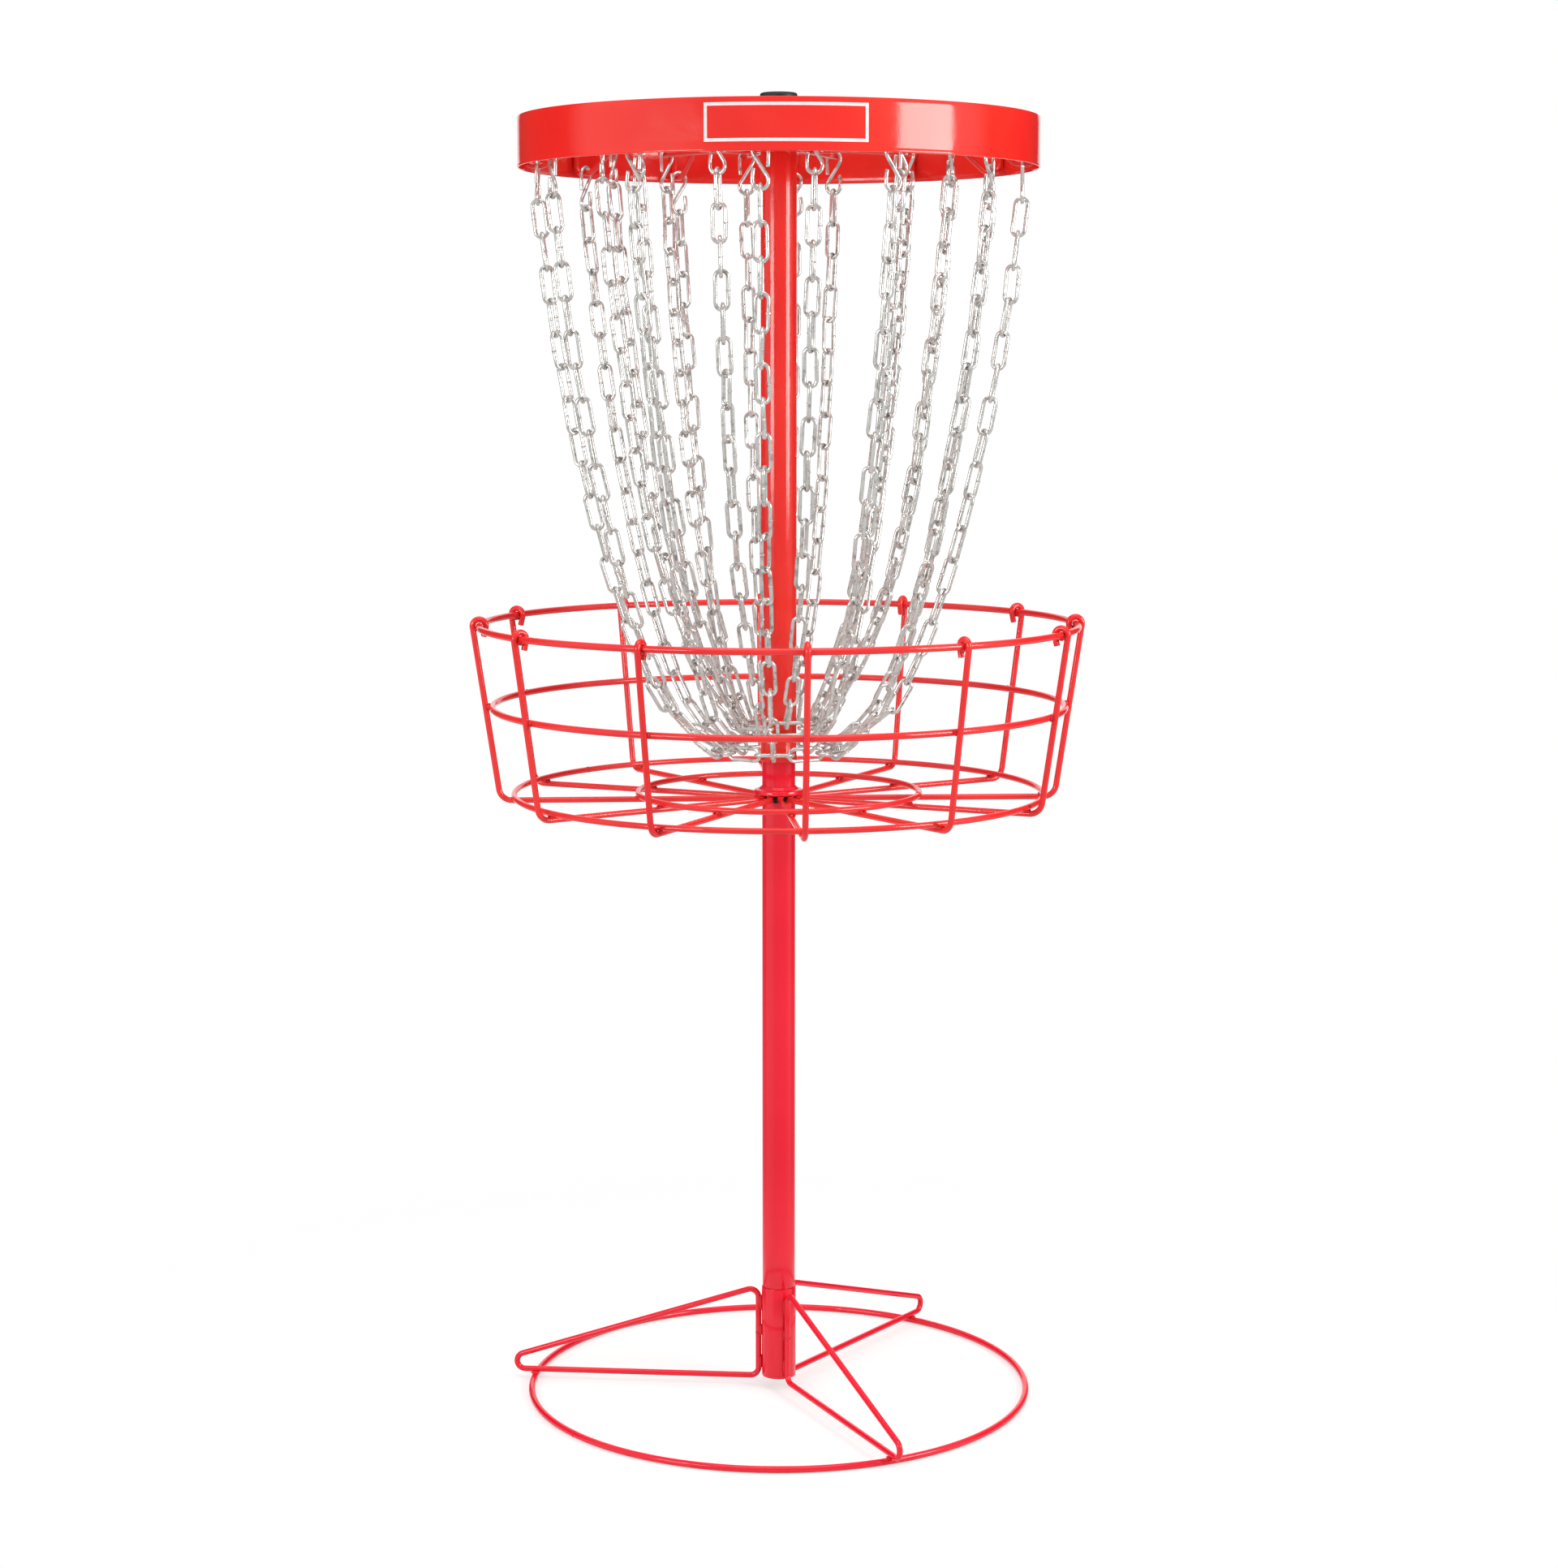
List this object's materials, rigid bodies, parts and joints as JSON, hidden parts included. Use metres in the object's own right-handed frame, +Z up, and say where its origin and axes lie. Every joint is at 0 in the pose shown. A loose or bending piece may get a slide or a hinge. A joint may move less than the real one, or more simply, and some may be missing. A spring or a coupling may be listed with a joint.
{
  "type": "disc golf basket",
  "caption": "Free-standing disc golf target: pole on a ring base with wire fins, wire catch basket, and hanging chains in two circles below a banded top.",
  "frame": {"origin": "on the ground under the centre of the pole", "axes": "+Z up along the pole, -Y towards the front, +X to the right seen from the front"},
  "size_m": [0.6567, 0.6555, 1.396],
  "materials": {
    "red_powder_coat": "glossy powder coat with a faint orange-peel texture",
    "zinc_steel": "bright zinc-plated steel wire",
    "plain_steel": "bare drawn steel tube",
    "black_plastic": "black moulded plastic"
  },
  "bodies": {
    "stand": {"base_ring": "red_powder_coat", "base_fin_left": "red_powder_coat", "base_fin_front": "red_powder_coat", "base_fin_rear": "red_powder_coat", "base_tube": "red_powder_coat", "base_spigot": "plain_steel", "lower_pole": "red_powder_coat", "basket_hub": "red_powder_coat", "basket_rib_01": "red_powder_coat", "basket_rib_02": "red_powder_coat", "basket_rib_03": "red_powder_coat", "basket_rib_04": "red_powder_coat", "basket_rib_05": "red_powder_coat", "basket_rib_06": "red_powder_coat", "basket_rib_07": "red_powder_coat", "basket_rib_08": "red_powder_coat", "basket_rib_09": "red_powder_coat", "basket_rib_10": "red_powder_coat", "basket_rib_11": "red_powder_coat", "basket_rib_12": "red_powder_coat", "basket_rim_ring": "red_powder_coat", "basket_mid_ring": "red_powder_coat", "basket_floor_outer_ring": "red_powder_coat", "basket_floor_inner_ring": "red_powder_coat"},
    "head": {"upper_pole": "red_powder_coat", "pole_stop": "plain_steel", "pole_cap": "black_plastic", "support_hub": "red_powder_coat", "support_outer_frame": "red_powder_coat", "support_inner_frame": "red_powder_coat", "chain_support_band": "red_powder_coat", "outer_chain_loop": "zinc_steel", "inner_chain_loop": "zinc_steel"},
    "chain_outer_01": {"chain_outer_01": "zinc_steel"},
    "chain_outer_02": {"chain_outer_02": "zinc_steel"},
    "chain_outer_03": {"chain_outer_03": "zinc_steel"},
    "chain_outer_04": {"chain_outer_04": "zinc_steel"},
    "chain_outer_05": {"chain_outer_05": "zinc_steel"},
    "chain_outer_06": {"chain_outer_06": "zinc_steel"},
    "chain_outer_07": {"chain_outer_07": "zinc_steel"},
    "chain_outer_08": {"chain_outer_08": "zinc_steel"},
    "chain_outer_09": {"chain_outer_09": "zinc_steel"},
    "chain_outer_10": {"chain_outer_10": "zinc_steel"},
    "chain_outer_11": {"chain_outer_11": "zinc_steel"},
    "chain_outer_12": {"chain_outer_12": "zinc_steel"},
    "chain_inner_01": {"chain_inner_01": "zinc_steel"},
    "chain_inner_02": {"chain_inner_02": "zinc_steel"},
    "chain_inner_03": {"chain_inner_03": "zinc_steel"},
    "chain_inner_04": {"chain_inner_04": "zinc_steel"},
    "chain_inner_05": {"chain_inner_05": "zinc_steel"},
    "chain_inner_06": {"chain_inner_06": "zinc_steel"},
    "chain_inner_07": {"chain_inner_07": "zinc_steel"},
    "chain_inner_08": {"chain_inner_08": "zinc_steel"},
    "chain_inner_09": {"chain_inner_09": "zinc_steel"},
    "chain_inner_10": {"chain_inner_10": "zinc_steel"},
    "chain_inner_11": {"chain_inner_11": "zinc_steel"},
    "chain_inner_12": {"chain_inner_12": "zinc_steel"}
  },
  "joints": [
    {"name": "head_turn", "type": "hinge", "parent": "stand", "child": "head", "pos_m": [0, 0, 0.8], "axis": [0, 0, 1], "continuous": true},
    {"name": "chain_outer_01_swing", "type": "hinge", "parent": "head", "child": "chain_outer_01", "pos_m": [-0.01772, -0.25338, 1.32585], "axis": [-0.0201, -0.2881, 0.9574], "range_deg": [-30, 30]},
    {"name": "chain_outer_02_swing", "type": "hinge", "parent": "head", "child": "chain_outer_02", "pos_m": [0.11135, -0.22829, 1.32585], "axis": [0.1266, -0.2596, 0.9574], "range_deg": [-30, 30]},
    {"name": "chain_outer_03_swing", "type": "hinge", "parent": "head", "child": "chain_outer_03", "pos_m": [0.21058, -0.14203, 1.32585], "axis": [0.2395, -0.1615, 0.9574], "range_deg": [-30, 30]},
    {"name": "chain_outer_04_swing", "type": "hinge", "parent": "head", "child": "chain_outer_04", "pos_m": [0.25338, -0.01772, 1.32585], "axis": [0.2881, -0.0201, 0.9574], "range_deg": [-30, 30]},
    {"name": "chain_outer_05_swing", "type": "hinge", "parent": "head", "child": "chain_outer_05", "pos_m": [0.22829, 0.11135, 1.32585], "axis": [0.2596, 0.1266, 0.9574], "range_deg": [-30, 30]},
    {"name": "chain_outer_06_swing", "type": "hinge", "parent": "head", "child": "chain_outer_06", "pos_m": [0.14203, 0.21058, 1.32585], "axis": [0.1615, 0.2395, 0.9574], "range_deg": [-30, 30]},
    {"name": "chain_outer_07_swing", "type": "hinge", "parent": "head", "child": "chain_outer_07", "pos_m": [0.01772, 0.25338, 1.32585], "axis": [0.0201, 0.2881, 0.9574], "range_deg": [-30, 30]},
    {"name": "chain_outer_08_swing", "type": "hinge", "parent": "head", "child": "chain_outer_08", "pos_m": [-0.11135, 0.22829, 1.32585], "axis": [-0.1266, 0.2596, 0.9574], "range_deg": [-30, 30]},
    {"name": "chain_outer_09_swing", "type": "hinge", "parent": "head", "child": "chain_outer_09", "pos_m": [-0.21058, 0.14203, 1.32585], "axis": [-0.2395, 0.1615, 0.9574], "range_deg": [-30, 30]},
    {"name": "chain_outer_10_swing", "type": "hinge", "parent": "head", "child": "chain_outer_10", "pos_m": [-0.25338, 0.01772, 1.32585], "axis": [-0.2881, 0.0201, 0.9574], "range_deg": [-30, 30]},
    {"name": "chain_outer_11_swing", "type": "hinge", "parent": "head", "child": "chain_outer_11", "pos_m": [-0.22829, -0.11135, 1.32585], "axis": [-0.2596, -0.1266, 0.9574], "range_deg": [-30, 30]},
    {"name": "chain_outer_12_swing", "type": "hinge", "parent": "head", "child": "chain_outer_12", "pos_m": [-0.14203, -0.21058, 1.32585], "axis": [-0.1615, -0.2395, 0.9574], "range_deg": [-30, 30]},
    {"name": "chain_inner_01_swing", "type": "hinge", "parent": "head", "child": "chain_inner_01", "pos_m": [0.03549, -0.18258, 1.34535], "axis": [0.0426, -0.2192, 0.9747], "range_deg": [-30, 30]},
    {"name": "chain_inner_02_swing", "type": "hinge", "parent": "head", "child": "chain_inner_02", "pos_m": [0.12203, -0.14038, 1.34535], "axis": [0.1465, -0.1685, 0.9747], "range_deg": [-30, 30]},
    {"name": "chain_inner_03_swing", "type": "hinge", "parent": "head", "child": "chain_inner_03", "pos_m": [0.17587, -0.06056, 1.34535], "axis": [0.2112, -0.0727, 0.9747], "range_deg": [-30, 30]},
    {"name": "chain_inner_04_swing", "type": "hinge", "parent": "head", "child": "chain_inner_04", "pos_m": [0.18258, 0.03549, 1.34535], "axis": [0.2192, 0.0426, 0.9747], "range_deg": [-30, 30]},
    {"name": "chain_inner_05_swing", "type": "hinge", "parent": "head", "child": "chain_inner_05", "pos_m": [0.14038, 0.12203, 1.34535], "axis": [0.1685, 0.1465, 0.9747], "range_deg": [-30, 30]},
    {"name": "chain_inner_06_swing", "type": "hinge", "parent": "head", "child": "chain_inner_06", "pos_m": [0.06056, 0.17587, 1.34535], "axis": [0.0727, 0.2112, 0.9747], "range_deg": [-30, 30]},
    {"name": "chain_inner_07_swing", "type": "hinge", "parent": "head", "child": "chain_inner_07", "pos_m": [-0.03549, 0.18258, 1.34535], "axis": [-0.0426, 0.2192, 0.9747], "range_deg": [-30, 30]},
    {"name": "chain_inner_08_swing", "type": "hinge", "parent": "head", "child": "chain_inner_08", "pos_m": [-0.12203, 0.14038, 1.34535], "axis": [-0.1465, 0.1685, 0.9747], "range_deg": [-30, 30]},
    {"name": "chain_inner_09_swing", "type": "hinge", "parent": "head", "child": "chain_inner_09", "pos_m": [-0.17587, 0.06056, 1.34535], "axis": [-0.2112, 0.0727, 0.9747], "range_deg": [-30, 30]},
    {"name": "chain_inner_10_swing", "type": "hinge", "parent": "head", "child": "chain_inner_10", "pos_m": [-0.18258, -0.03549, 1.34535], "axis": [-0.2192, -0.0426, 0.9747], "range_deg": [-30, 30]},
    {"name": "chain_inner_11_swing", "type": "hinge", "parent": "head", "child": "chain_inner_11", "pos_m": [-0.14038, -0.12203, 1.34535], "axis": [-0.1685, -0.1465, 0.9747], "range_deg": [-30, 30]},
    {"name": "chain_inner_12_swing", "type": "hinge", "parent": "head", "child": "chain_inner_12", "pos_m": [-0.06056, -0.17587, 1.34535], "axis": [-0.0727, -0.2112, 0.9747], "range_deg": [-30, 30]}
  ]
}
